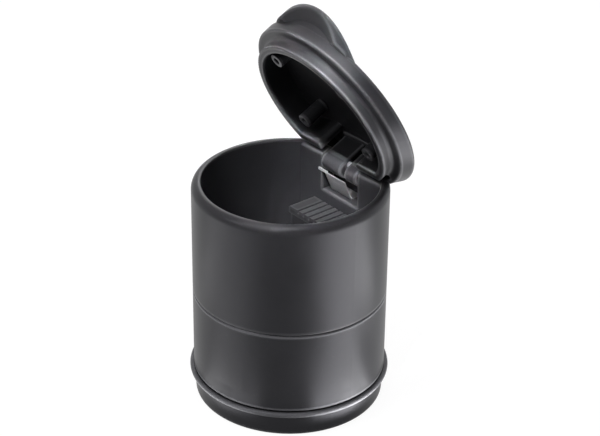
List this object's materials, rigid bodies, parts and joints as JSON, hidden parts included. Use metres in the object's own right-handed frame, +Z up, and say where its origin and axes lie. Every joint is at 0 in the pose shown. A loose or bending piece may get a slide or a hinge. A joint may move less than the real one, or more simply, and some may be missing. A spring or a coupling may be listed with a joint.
{
  "type": "car ashtray",
  "caption": "Cup-holder car ashtray: straight barrel parted at mid height on a beaded base, hinged lid with a thumb lip, and a ribbed stub-out rest inside.",
  "frame": {"origin": "middle of the base's flat underside", "axes": "+Z up along the barrel's axis, +Y towards the lid's hinge, hinge axis along X"},
  "size_m": [0.0708, 0.0718, 0.1431],
  "materials": {
    "barrel_plastic": "satin moulded charcoal plastic",
    "lid_plastic": "satin moulded charcoal plastic",
    "rest_plastic": "matt heat-proof charcoal plastic",
    "steel": "bright spring steel"
  },
  "bodies": {
    "barrel": {"upper_barrel": "barrel_plastic", "ash_bin": "barrel_plastic", "base": "barrel_plastic", "stub_rest": "rest_plastic", "hinge_pin": "steel", "leaf_spring": "steel"},
    "lid": {"lid": "lid_plastic"}
  },
  "joints": [
    {"name": "lid_hinge", "type": "hinge", "parent": "barrel", "child": "lid", "pos_m": [0, 0.0254, 0.08025], "axis": [-1, 0, 0], "range_deg": [-64.4, 5]}
  ]
}
